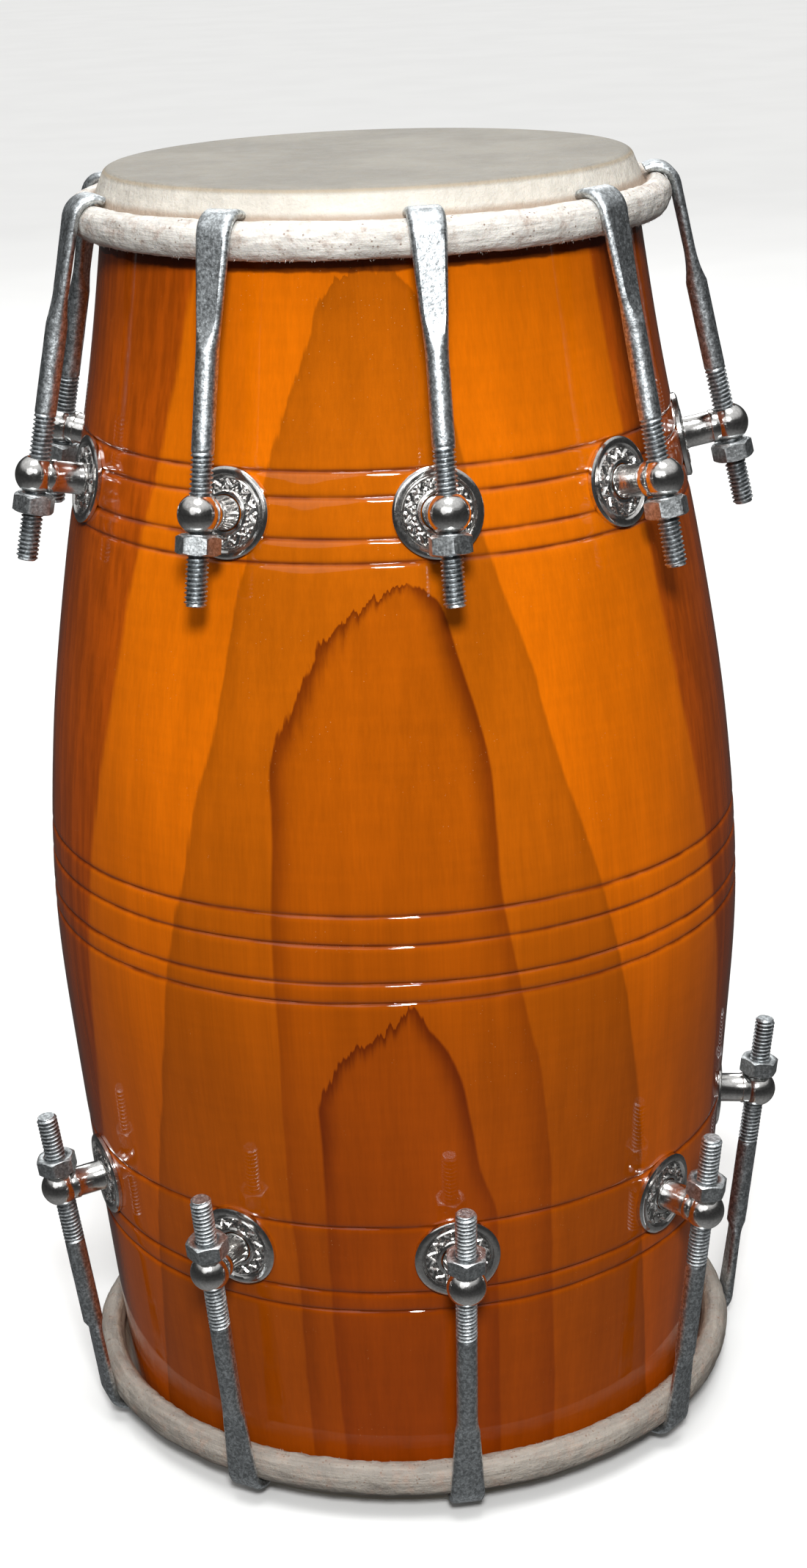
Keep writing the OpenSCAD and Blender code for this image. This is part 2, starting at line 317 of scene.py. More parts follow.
# ------------------------------------------------------------------ materials
class Shader:
    """One material's nodes, with short calls for the ones used here. A value may be a number or a socket."""

    def __init__(self, name, **constants):
        self.material = bpy.data.materials.new(name)
        self.material.use_nodes = True
        self.tree = self.material.node_tree
        self.surface = self.tree.nodes["Principled BSDF"]
        for socket, value in constants.items():
            self.surface.inputs[socket.replace("_", " ")].default_value = value

    def add(self, kind, values=(), output=0, **settings):
        node = self.tree.nodes.new("ShaderNode" + kind)
        for key, value in settings.items():
            setattr(node, key, value)
        for socket, value in dict(values).items():
            self.feed(node.inputs[socket], value)
        return node.outputs[output]

    def feed(self, socket, value):
        if isinstance(value, bpy.types.NodeSocket):
            self.tree.links.new(value, socket)
        else:
            socket.default_value = value

    def set(self, **values):
        for socket, value in values.items():
            self.feed(self.surface.inputs[socket.replace("_", " ")], value)

    def math(self, operation, a, b=0.0, clamp=False):
        return self.add("Math", {0: a, 1: b}, operation=operation, use_clamp=clamp)

    def sum(self, a, b):
        return self.math("ADD", a, b)

    def less(self, a, b):
        return self.math("SUBTRACT", a, b)

    def times(self, a, b):
        return self.math("MULTIPLY", a, b)

    def place(self):
        """Place on the piece in millimetres, in the row frame."""
        where = self.tree.nodes.new("ShaderNodeTexCoord").outputs["Object"]
        return self.add("VectorMath", {0: where, "Scale": 1 / MM}, operation="SCALE")

    def split(self, vector):
        node = self.tree.nodes.new("ShaderNodeSeparateXYZ")
        self.feed(node.inputs[0], vector)
        return node.outputs

    def attribute(self, name):
        """The number that store() left on the mesh, or 0 where the mesh has none."""
        node = self.tree.nodes.new("ShaderNodeAttribute")
        node.attribute_name = name
        return node.outputs["Fac"]

    def length(self, x, y):
        return self.math("SQRT", self.sum(self.times(x, x), self.times(y, y)))

    def scaled(self, vector, up, sides=1):
        return self.add("VectorMath", {0: vector, 1: (sides, sides, up)}, operation="MULTIPLY")

    def noise(self, vector, size, detail=2.0, roughness=0.5):
        """Noise from 0 to 1 with features of about size millimetres."""
        values = {"Vector": vector, "Scale": 1 / size, "Detail": detail, "Roughness": roughness}
        return self.add("TexNoise", values)

    def cells(self, vector, size, feature="F1"):
        return self.add("TexVoronoi", {"Vector": vector, "Scale": 1 / size}, feature=feature)

    def band(self, value, low, high, start=0.0, end=1.0):
        """start up to low, end from high on, and a smooth change between them."""
        values = {"Value": value, "From Min": low, "From Max": high, "To Min": start, "To Max": end}
        return self.add("MapRange", values, interpolation_type="SMOOTHSTEP")

    def mix(self, factor, a, b, blend="MIX"):
        values = {0: factor, 6: colour(a), 7: colour(b)}
        return self.add("Mix", values, output=2, data_type="RGBA", blend_type=blend)

    def shade(self, base, factor):
        """base, made darker or lighter by a factor."""
        return self.mix(1.0, base, self.add("CombineXYZ", {0: factor, 1: factor, 2: factor}), "MULTIPLY")

    def curve(self, value, points, span=400, reach=90):
        """A smooth curve through points of (value, result), for values to span and results to +-reach."""
        node = self.tree.nodes.new("ShaderNodeFloatCurve")
        line = node.mapping.curves[0]
        spots = [(x / span, y / (2 * reach) + 0.5) for x, y in points]
        while len(line.points) < len(spots):
            line.points.new(0.5, 0.5)
        for point, spot in zip(line.points, sorted(spots)):
            point.location = spot
            point.handle_type = "AUTO_CLAMPED"
        node.mapping.update()
        self.feed(node.inputs["Value"], self.math("DIVIDE", value, span))
        return self.times(self.less(node.outputs[0], 0.5), 2 * reach)

    def bump(self, height, depth, strength=1.0, below=None):
        """A normal from a height of 0 to 1 that stands for depth millimetres."""
        values = {"Height": height, "Distance": depth * MM, "Strength": strength}
        if below is not None:
            values["Normal"] = below
        return self.add("Bump", values)


def colour(value):
    """A colour or a socket, as a colour socket takes it."""
    return value if isinstance(value, bpy.types.NodeSocket) or len(value) == 4 else (*value, 1.0)


# Edges of the wood's figure, each as (height, azimuth in degrees from the middle of the figure)
HEART_LEFT = [
    (0, -58), (60, -51), (100, -47), (150, -41), (200, -35.5), (240, -30), (298, -23.5),
    (320, -20), (352, -13), (367, -9), (373, -3),
]
HEART_RIGHT = [
    (0, 51), (60, 46), (100, 43.5), (140, 40), (180, 35.5), (220, 29.5), (260, 24), (300, 17.5),
    (335, 13), (362, 9), (373, 3),
]
SIDE_LEFT = [(60, -70), (105, -66), (130, -63), (190, -58), (250, -52), (290, -48), (318, -44), (376, -37)]
SIDE_RIGHT = [(60, 71), (90, 70), (130, 67), (170, 63), (200, 60.5), (250, 55.5), (300, 53), (376, 49)]
ARCH_LEFT = [(60, -19.5), (238, -19), (255, -16), (269, -12), (279, -7), (286, 0), (289, 5)]
ARCH_RIGHT = [
    (50, 25.5), (110, 24), (160, 20), (200, 16), (235, 15.5), (258, 13), (272, 11), (283, 8.5), (289, 5),
]
LOW_ARCH_LEFT = [(50, -13.5), (138, -13.5), (146, -12), (155, -8), (163, -3), (170, 2)]
LOW_ARCH_RIGHT = [(50, 15), (100, 14.5), (115, 12), (135, 10), (150, 8), (162, 5), (170, 2)]
FIGURE_TOP = 373
ARCH_TOP = 289
LOW_ARCH_TOP = 170
# Azimuth of the middle of the figure, which is flat-sawn face on; the opposite face mirrors it
FIGURE_AZIMUTH = math.radians(-99.76)


WOOD_SIDES = (0.45, 0.078, 0.002)
WOOD_BANDS = (0.70, 0.150, 0.001)
WOOD_HEART = (0.475, 0.105, 0.0015)
WOOD_ARCH = (0.39, 0.074, 0.001)
WOOD_ARCH_RIM = (0.13, 0.018, 0.0015)
WOOD_LOW_ARCH = (0.36, 0.062, 0.0015)
WOOD_LOW_ARCH_RIM = (0.13, 0.017, 0.0015)
# Multiplied in towards the foot: painted shade together with a redder tone of the wood
FOOT_SHADE_AND_TINT = (0.74, 0.57, 0.7)
# Painted shadow and dirt under the treble roll
ROLL_DIRT_AND_SHADOW = (0.06, 0.010, 0.002)
LINE_STAIN = (0.17, 0.026, 0.002)
# Dust specks, which in the upper heart also stand in for a painted glint
LACQUER_DUST_AND_GLINT = (0.80, 0.48, 0.20)
# Half the height, in millimetres, of the stain in a turned line
LINE_STAIN_W = 0.58


def wood_material():
    """Lacquered wood: a flat-sawn figure of nested arches between light and dark bands, and fine fibres."""
    s = Shader("lacquered_wood", Roughness=0.6, Specular_IOR_Level=0.0)
    s.set(Coat_Weight=1.0, Coat_Roughness=0.04, Coat_IOR=1.4)
    place = s.place()
    x, y, z = s.split(place)
    radius = s.length(x, y)
    facing, sideways = (
        s.math("DIVIDE", s.sum(s.times(x, way.x), s.times(y, way.y)), radius)
        for way in (outward(FIGURE_AZIMUTH), outward(FIGURE_AZIMUTH + math.pi / 2))
    )
    azimuth = s.times(s.math("ARCSINE", sideways), 180 / math.pi)

    # Fibres end at different heights, so the left edges of the arches are ragged
    fibre_end = s.less(s.noise(s.scaled(place, 0.02), 2.0, 3.0, 0.55), 0.5)
    ragged = s.band(azimuth, 0, 7, 12.0, 2.5)
    far_side = s.band(facing, 0.25, -0.6, 0.0, 34.0)
    wander = s.times(s.less(s.noise(place, 26, 2.0), 0.5), 5.0)
    height = s.sum(s.sum(z, s.times(fibre_end, ragged)), s.sum(far_side, wander))
    drift = s.times(s.less(s.noise(s.scaled(place, 0.4), 18, 2.0), 0.5), 2.2)
    across = s.sum(azimuth, drift)

    def inside(left, right, top, soft):
        """Depth in degrees inside a pair of edges, and the mask that it gives."""
        from_left = s.less(across, s.curve(height, left))
        from_right = s.less(s.curve(height, right), across)
        depth = s.math("MINIMUM", from_left, from_right)
        below_top = s.band(height, top, top - 1.5)
        return depth, s.times(s.band(depth, -soft, soft), below_top)

    _, light = inside(SIDE_LEFT, SIDE_RIGHT, 420, 0.9)
    heart_depth, heart = inside(HEART_LEFT, HEART_RIGHT, FIGURE_TOP, 0.35)
    arch_depth, arch = inside(ARCH_LEFT, ARCH_RIGHT, ARCH_TOP, 0.3)
    low_depth, low_arch = inside(LOW_ARCH_LEFT, LOW_ARCH_RIGHT, LOW_ARCH_TOP, 0.3)

    def rim(depth, mask, top, fade, width):
        """Dark shading just inside an arch, strongest under its top."""
        near = s.math("POWER", s.band(depth, width, 0.0), 1.6)
        strength = s.band(height, top - fade, top - 20, 0.3, 1.0)
        return s.times(s.times(near, mask), strength)

    base = s.mix(light, WOOD_SIDES, WOOD_BANDS)
    base = s.mix(s.times(heart, 0.97), base, WOOD_HEART)
    base = s.mix(s.times(arch, 0.5), base, WOOD_ARCH)
    base = s.mix(s.times(rim(arch_depth, arch, ARCH_TOP, 150, 5.5), 0.85), base, WOOD_ARCH_RIM)
    base = s.mix(s.times(low_arch, 0.5), base, WOOD_LOW_ARCH)
    base = s.mix(s.times(rim(low_depth, low_arch, LOW_ARCH_TOP, 90, 4.5), 0.85), base, WOOD_LOW_ARCH_RIM)
    faint_edge = s.times(s.band(heart_depth, 2.2, 0.2), heart)
    base = s.shade(base, s.less(1.0, s.times(faint_edge, 0.10)))

    fibres = s.noise(s.scaled(place, 0.012), 0.8, 4.0, 0.65)
    bundles = s.noise(s.scaled(place, 0.02), 5, 3.0, 0.6)
    clouds = s.noise(s.scaled(place, 0.4), 30, 3.0)
    figure = s.noise(s.scaled(place, 1, 0.12), 2.6, 2.0)
    tone = s.band(fibres, 0.28, 0.72, 0.945, 1.045)
    tone = s.times(tone, s.band(bundles, 0.3, 0.7, 0.94, 1.05))
    tone = s.times(tone, s.band(clouds, 0.3, 0.7, 0.91, 1.07))
    tone = s.times(tone, s.band(figure, 0.3, 0.7, 0.978, 1.018))
    base = s.shade(base, tone)
    # Straight stripes on the two sides, where the rings are cut across
    stripes = s.noise(s.scaled(place, 0.008), 3.2, 3.0, 0.6)
    on_sides = s.less(1.0, light)
    base = s.shade(base, s.sum(1.0, s.times(s.band(stripes, 0.36, 0.64, -0.17, 0.10), on_sides)))

    # Darker and redder towards the foot: partly painted shade for the light falling off down the barrel,
    # partly a redder tone of the wood; and a little darker near the treble roll
    base = s.mix(s.band(z, 320, -40), base, FOOT_SHADE_AND_TINT, "MULTIPLY")
    base = s.shade(base, s.band(z, 230, 370, 0.95, 0.90))
    # Painted shadow under the treble roll, mixed with dirt and old lacquer there
    grime_and_shadow = s.band(s.sum(z, s.times(s.less(s.noise(place, 5, 3.0), 0.5), 1.5)), 370.6, 371.5)
    base = s.mix(s.times(grime_and_shadow, 0.8), base, ROLL_DIRT_AND_SHADOW)
    # Stain gathers in the turned lines
    stain = s.times(s.attribute("line"), s.band(s.noise(place, 9, 2.0), 0.25, 0.65, 0.35, 0.92))
    base = s.mix(stain, base, LINE_STAIN)
    # Specks of dust in the lacquer; crowded into the upper heart, they also stand in for a painted glint of
    # the light there
    speck = s.band(s.cells(place, 1.5), 0.10, 0.04)
    dust_and_glint = s.sum(s.band(s.noise(place, 14, 1.0), 0.56, 0.68), s.times(heart, s.band(z, 318, 350)))
    specks = s.math("MULTIPLY", s.times(speck, 0.4), dust_and_glint, clamp=True)
    base = s.mix(specks, base, LACQUER_DUST_AND_GLINT)

    swell = s.noise(s.scaled(place, 0.5), 11, 2.0)
    lacquer = s.bump(swell, 0.05, 0.5)
    grain = s.bump(fibres, 0.03, 0.35, lacquer)
    s.set(Base_Color=base, Normal=grain, Coat_Normal=lacquer)
    return s.material


WORN_HIDE = (0.50, 0.37, 0.22)
# Colour of the darker band in the crease between the skirt and the roll
CREASE_DARKENING = (0.30, 0.20, 0.13)
HIDE_STAIN = (0.36, 0.255, 0.20)
HIDE_PORE = (0.22, 0.14, 0.10)


def hide_material(name, end, head, skirt, roll):
    """Rawhide, with a colour each for the head, the skirt and the rolled edge, and stains and pores."""
    s = Shader(name, Roughness=0.62, Specular_IOR_Level=0.35, Subsurface_Weight=0.12)
    s.surface.inputs["Subsurface Radius"].default_value = (0.003, 0.002, 0.0012)
    s.surface.inputs["Subsurface Scale"].default_value = 0.6
    place = s.place()
    x, y, z = s.split(place)
    radius = s.length(x, y)
    depth = s.math("ABSOLUTE", s.less(z, drum_h if end == "treble" else 0.0))
    crease_r = hide_radii(end)[1]
    clouds = s.noise(place, 32, 4.0, 0.6)
    mottle = s.noise(place, 5, 3.0, 0.6)
    on_skirt = s.band(depth, 0.5, 2.2)
    on_roll = s.band(radius, crease_r - 0.2, crease_r + 0.5)
    base = s.mix(on_roll, s.mix(on_skirt, head, skirt), roll)
    base = s.shade(base, s.times(s.band(clouds, 0.3, 0.7, 0.86, 1.08), s.band(mottle, 0.3, 0.7, 0.94, 1.05)))
    # A thin worn line where the hide bends over the bearing edge
    bend = s.times(s.band(depth, 0.25, 0.7), s.band(depth, 1.7, 0.9))
    base = s.mix(s.times(bend, 0.35), base, WORN_HIDE)
    # Darker and browner in the crease where the skirt meets the roll, and brown stains on the roll
    near_roll = s.band(s.sum(depth, s.times(mottle, 1.5)), 6.6, 8.6)
    crease = s.times(near_roll, s.band(radius, crease_r + 2.4, crease_r + 0.6))
    base = s.mix(s.times(crease, 0.7), base, CREASE_DARKENING)
    stains = s.times(s.band(s.noise(place, 6, 5.0, 0.75), 0.48, 0.70), on_roll)
    base = s.mix(s.times(stains, 0.65), base, HIDE_STAIN)
    # Fibres drawn out along the roll, about a ninth of a radian long
    round_x, round_y = (s.times(s.math("DIVIDE", side, radius), 9.0) for side in (x, y))
    along = s.add("CombineXYZ", {0: round_x, 1: round_y, 2: radius})
    fibre_values = {"Vector": along, "W": depth, "Scale": 0.9, "Detail": 4.0, "Roughness": 0.6}
    fibres = s.add("TexNoise", fibre_values, noise_dimensions="4D")
    base = s.shade(base, s.band(s.times(s.less(fibres, 0.5), on_roll), -0.18, 0.18, 0.84, 1.12))
    # Pores and hair roots, most of them on the roll
    pore = s.band(s.cells(place, 1.4), 0.30, 0.14)
    sparse = s.band(s.noise(place, 4, 3.0), 0.50, 0.60)
    pores = s.times(s.times(pore, sparse), s.band(on_roll, 0, 1, 0.12, 0.8))
    base = s.mix(pores, base, HIDE_PORE)
    streaks = s.noise(s.scaled(place, 0.35), 1.4, 3.0)
    wrinkles = s.bump(s.noise(place, 2.2, 5.0, 0.66), 0.7, 0.8)
    drawn = s.bump(s.times(fibres, on_roll), 0.5, 0.7, wrinkles)
    rough = s.bump(streaks, 0.2, 0.5, drawn)
    s.set(Base_Color=base, Normal=rough, Roughness=s.band(mottle, 0.3, 0.7, 0.54, 0.74))
    return s.material


def metal_material(name, tint, polish, spread, mottling, dents):
    """Plated steel: mottled and grained, with fine scratches, dull patches and painted shade in the thread
    grooves.
    """
    s = Shader(name, Metallic=1.0, IOR=2.5)
    place = s.place()
    coarse = s.noise(place, 4.5, 4.0, 0.65)
    fine = s.noise(place, 0.6, 4.0, 0.7)
    grains = s.noise(place, 1.1, 2.0, 0.6)
    scratches = s.noise(s.scaled(place, 0.08), 0.25, 2.0)
    base = s.shade(tint, s.band(fine, 0.3, 0.7, 1 - mottling, 1 + mottling / 2))
    base = s.mix(s.times(s.band(coarse, 0.55, 0.8), 0.6), base, tuple(0.55 * c for c in tint))
    base = s.shade(base, s.band(grains, 0.38, 0.62, 1 - mottling / 1.3, 1 + mottling / 1.3))
    # Painted shade in the thread grooves, deepest at their roots
    base = s.shade(base, s.band(s.attribute("groove_shade"), 0.0, 1.0, 1.0, 0.45))
    rough = s.band(fine, 0.3, 0.75, polish, polish + spread)
    rough = s.sum(rough, s.band(coarse, 0.4, 0.8, 0.0, spread))
    dented = s.bump(coarse, dents, 0.6)
    grainy = s.bump(grains, dents / 2, 0.8, s.bump(fine, dents / 3, 0.5, dented))
    s.set(Base_Color=base, Roughness=rough, Normal=s.bump(scratches, 0.02, 0.4, grainy))
    return s.material


def paste_material():
    """Black tuning paste, cracked into small cells as it dried."""
    s = Shader("tuning_paste", Roughness=0.8)
    place = s.place()
    cracks = s.band(s.cells(place, 2.5, "DISTANCE_TO_EDGE"), 0.0, 0.06)
    grain = s.noise(place, 0.8, 4.0)
    base = s.mix(s.band(grain, 0.3, 0.7), (0.012, 0.011, 0.010), (0.035, 0.031, 0.027))
    s.set(Base_Color=s.shade(base, s.band(cracks, 0, 1, 0.4, 1.0)), Normal=s.bump(cracks, 0.3, 0.8))
    return s.material


def floor_material():
    """Pale matt studio floor with a very faint unevenness."""
    s = Shader("studio_floor", Roughness=0.85, Specular_IOR_Level=0.1)
    tone = s.band(s.noise(s.place(), 180, 2.0), 0.3, 0.7, 0.985, 1.01)
    s.set(Base_Color=s.shade((0.86, 0.86, 0.85), tone))
    return s.material


wood = wood_material()
# Name, end, and the colours of the head, the skirt and the roll. The treble head's colour is painted shade,
# kept darker than its skirt and roll because light only grazes the head
treble_hide, bass_hide = (hide_material(*finish) for finish in (
    ("treble_rawhide", "treble", (0.29, 0.272, 0.235), (0.64, 0.60, 0.53), (0.70, 0.67, 0.62)),
    ("bass_rawhide", "bass", (0.42, 0.38, 0.31), (0.40, 0.355, 0.30), (0.33, 0.295, 0.255)),
))
# Name, tint, polish, spread, mottling and dents
hook_steel, zinc_plate, nickel_plate, hoop_steel = (metal_material(*finish) for finish in (
    ("hook_steel", (0.61, 0.65, 0.67), 0.34, 0.10, 0.36, 0.20),
    ("zinc_plate", (0.55, 0.58, 0.59), 0.34, 0.12, 0.30, 0.14),
    ("nickel_plate", (0.80, 0.79, 0.77), 0.09, 0.07, 0.10, 0.05),
    ("hoop_steel", (0.30, 0.28, 0.26), 0.35, 0.15, 0.30, 0.12),
))


# ---------------------------------------------------------------------- shell
def turned_shell():
    """The barrel: one wall of wood with its turned lines, drilled for the studs of the posts."""
    azimuths = full_turn(SHELL_SIDES)
    foot_z, top_z = SKIN_BEND, drum_h - SKIN_BEND
    near_line = (-2.2, -1.7, -1.3, -1.0, -0.7, -0.45, -0.22, 0.0, 0.22, 0.45, 0.7, 1.0, 1.3, 1.7, 2.2)
    rows = [(z, None, 0.0) for z in np.linspace(foot_z, top_z, 170) if min(abs(z - at) for at in lines) > 2.8]
    rows += [(at + offset, index, offset) for index, at in enumerate(lines) for offset in near_line]
    rows.sort()

    inner = [(wood_r(z) - WALL, z) for z in np.linspace(drum_h - SKIN_T - SEAT_GAP, SKIN_T + SEAT_GAP, 28)]
    foot_pivot, top_pivot = wood_r(foot_z) - EDGE_ROUND, wood_r(top_z) - EDGE_ROUND
    foot_arc = arc(foot_pivot, foot_z, EDGE_ROUND, -90, -15, 5)
    top_arc = arc(top_pivot, top_z, EDGE_ROUND, 15, 90, 5)

    points = []
    for azimuth in azimuths:
        side = []
        for z, index, offset in rows:
            r = wood_r(z) + 0.16 * ripple(azimuth, z / 45, 2.2) * ramp(z, 4, 30) * ramp(drum_h - z, 4, 30)
            if index is not None:
                z += 0.35 * ripple(azimuth, 3.7 * index, 2.5)
                depth = LINE_DEPTH * (0.85 + 0.35 * ripple(azimuth, 5.1 * index, 9))
                width = 0.42 + 0.14 * ripple(azimuth, 2.3 * index, 14)
                r -= (depth - 0.22) * math.exp(-abs(offset / width) ** 1.7)
                r -= (0.22 + 0.08 * ripple(azimuth, 7.7 * index, 4)) * math.exp(-(offset / 1.15) ** 2)
            side.append((r, z))
        outline = foot_arc + side + top_arc + inner
        points += [polar(r, azimuth, z) for r, z in outline]
    count = len(points) // len(azimuths)
    shell = new_mesh("turned_shell", points, quads(len(azimuths), count, closed=True))

    sides = 24
    hole, hole_faces = turned([(STUD_R + 0.2, -2 * WALL), (STUD_R + 0.2, WALL)], sides)
    hole_faces += [tuple(range(sides)), tuple(range(sides, 2 * sides))]
    frames = [post_frame(end, station) for end in ENDS for station in STATIONS]
    drill(shell, new_mesh("drills", *repeated(hole, hole_faces, frames)))
    tidy(shell, 60)

    def in_line(at):
        away = min(abs(at.z - line) for line in lines)
        outside = at.xy.length > wood_r(at.z) - WALL / 2
        return math.exp(-(away / LINE_STAIN_W) ** 2) if outside else 0.0

    store(shell, "line", in_line)
    return install(shell, "drum", wood, ["shell"])


# ----------------------------------------------------------------------- hides
def tufts(azimuths, ring_r, ring_z, up, rng):
    """Loose fibres along the lower edge of a roll, each a thin three-sided spike."""
    points, faces = [], []
    for azimuth in azimuths:
        turn = math.radians(rng.uniform(58, 112))
        root_r = ring_r[0] + (ring_r[1] - 0.35) * math.cos(turn)
        root_z = ring_z[0] - up * (ring_z[1] - 0.35) * math.sin(turn)
        length, width = rng.uniform(0.4, 1.2), rng.uniform(0.1, 0.28)
        radial, around = outward(azimuth), outward(azimuth + math.pi / 2)
        down = Vector((0, 0, -up))
        root = root_r * radial + Vector((0, 0, root_z))
        lean = math.cos(turn) * radial * 0.7 + rng.uniform(-0.8, 0.8) * around + math.sin(turn) * down
        tip = root + length * lean.normalized()
        base = len(points)
        points += [root - width * around, root + width * around, root - width * radial, tip]
        faces += [(base, base + 1, base + 2)]
        faces += [(base + i, base + (i + 1) % 3, base + 3) for i in range(3)]
    return points, faces


def folds(azimuth, height, seed):
    """How far a roll's surface stands out in soft swells, sharp folds and fine wrinkles."""
    soft = 0.32 * ripple(azimuth, height, 6, seed)
    sharp = 0.42 * (0.35 - abs(ripple(azimuth, 1.4 * height, 15, seed + 9)))
    return soft + sharp + 0.10 * ripple(azimuth, 5 * height, 60, seed)


def rolled_hide(end, material):
    """One hide, soaked and stretched: the head, the skirt and the edge rolled round the steel hoop."""
    up = 1 if end == "treble" else -1
    head_z = drum_h if end == "treble" else 0.0
    hoop_low, hoop_high = (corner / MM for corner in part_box(f"{end}_hoop"))
    wire = hoop_high.z - hoop_low.z
    ring = hoop_high.x - wire / 2
    skin_low, skin_high = (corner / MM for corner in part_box(f"{end}_skin"))
    roll_w = 2 * (skin_high.x - ring)
    hoop_depth = abs(head_z - (hoop_low.z + hoop_high.z) / 2)
    roll_h = 2 * (skin_high.z - skin_low.z - hoop_depth)
    pivot, crease_r = hide_radii(end)

    lean = math.degrees(SKIRT_LEAN)
    lip = arc(pivot, SKIN_BEND, SKIN_BEND, -90, -lean, 8)
    face = [(pivot * i / HEAD_RINGS, 0.0) for i in range(HEAD_RINGS)]
    lip_r, lip_depth = lip[-1]
    steps = [i / 7 for i in range(1, 8)]
    skirt = [(lip_r + (crease_r - lip_r) * t, lip_depth + (CREASE_DEPTH - lip_depth) * t) for t in steps]
    roll_angles = [-135 + 300 * i / 44 for i in range(45)]
    lining = arc(ring, hoop_depth, wire / 2 + SEAT_GAP, 165, -160, 24)
    back = arc(pivot, SKIN_BEND, EDGE_ROUND + SEAT_GAP, -lean, -90, 6)
    under = [(r, SKIN_T) for r, _ in reversed(face)]

    points = []
    azimuths = full_turn(HIDE_SIDES)
    for azimuth in azimuths:
        outline = []
        for r, depth in face:
            hollow = 0.06 * (1 + ripple(azimuth, 0.0, 0.05 * r)) * ramp(pivot - r, 0, 12)
            outline.append((r, depth + hollow))
        outline += lip
        for r, depth in skirt:
            pucker = 0.14 * ripple(azimuth, depth / 9, 34) * ramp(depth, 2, 6)
            outline.append((r + pucker + 0.10 * ripple(azimuth, 0.4, 7), depth))
        for angle in roll_angles:
            a = math.radians(angle)
            fold = angle + 25 + 22 * ripple(azimuth, 1.5, 3)
            swell = folds(azimuth, a, 31.0) + 0.30 * math.exp(-abs(fold / 16))
            swell *= ramp(angle, -135, -105) * ramp(165 - angle, 0, 30)
            ragged = 0.34 * ripple(azimuth, 2 * a, 110) * ramp(angle, 60, 100) * ramp(165 - angle, 0, 40)
            reach = 1 + ragged / (roll_w / 2)
            r = ring + (roll_w / 2 * reach + swell) * math.cos(a)
            outline.append((r, hoop_depth + (roll_h / 2 * reach + swell) * math.sin(a)))
        outline += lining + [(crease_r - SKIN_T, CREASE_DEPTH + SKIN_T / 2)] + back + under
        points += [polar(r, azimuth, head_z - up * d) for r, d in outline]
    faces = quads(len(azimuths), len(points) // len(azimuths), closed=True)

    rng = random.Random(7 if end == "treble" else 8)
    tuft_azimuths = [rng.uniform(0, math.tau) for _ in range(TUFTS)]
    wisps, wisp_faces = tufts(
        tuft_azimuths, (ring, roll_w / 2), (head_z - up * hoop_depth, roll_h / 2), up, rng)
    offset = len(points)
    points += wisps
    faces += [tuple(i + offset for i in face) for face in wisp_faces]

    hide = new_mesh(f"{end}_hide", points, faces, 55)
    install(hide, "drum", material, [f"{end}_skin"])
    return hide


# ----------------------------------------------------------------------- hooks
# The thread's depth, and the radius of the rod where it isn't threaded
THREAD_DEPTH = 0.66
PLAIN_R = ROD_R - 0.04


def section(along, facing, half_w, half_t, round_t, centre):
    """One ring of points round a rod: an oval whose two faces are cut flat at half_t."""
    corner = max(math.radians(35), math.acos(min(half_t / round_t, 1.0)))
    quarter = [corner * i / 3 for i in range(4)]
    quarter += [corner + (math.pi / 2 - corner) * i / 4 for i in range(1, 5)]
    half = quarter + [math.pi - a for a in reversed(quarter[:-1])]
    ring = half + [math.pi + a for a in half[1:-1]]
    points = []
    for a in ring:
        x = min(max(round_t * math.cos(a), -half_t), half_t)
        points.append(centre + x * facing + half_w * math.sin(a) * along)
    return points


def threaded_rows(tail, end_w):
    """Rows of a right-hand thread from the tail to end_w, as (height, radius) for each point of a row."""
    root = ROD_R - THREAD_DEPTH
    steps = [(0.0, ROD_R), (0.14, ROD_R), (0.5, root), (0.64, root)]
    turns = math.ceil((end_w - tail) / PITCH) + 4
    rows = []
    for turn in range(turns):
        for part, radius in steps:
            row = []
            for i in range(RING):
                w = tail + (turn - 2 + part + i / RING) * PITCH
                w = min(max(w, tail), end_w)
                fade = ramp(w, end_w - 2 * PITCH, end_w)
                r = radius + (PLAIN_R - radius) * fade
                row.append((w, min(r, ROD_R - PITCH / 2 + 0.9 * (w - tail))))
            rows.append(row)
    return rows


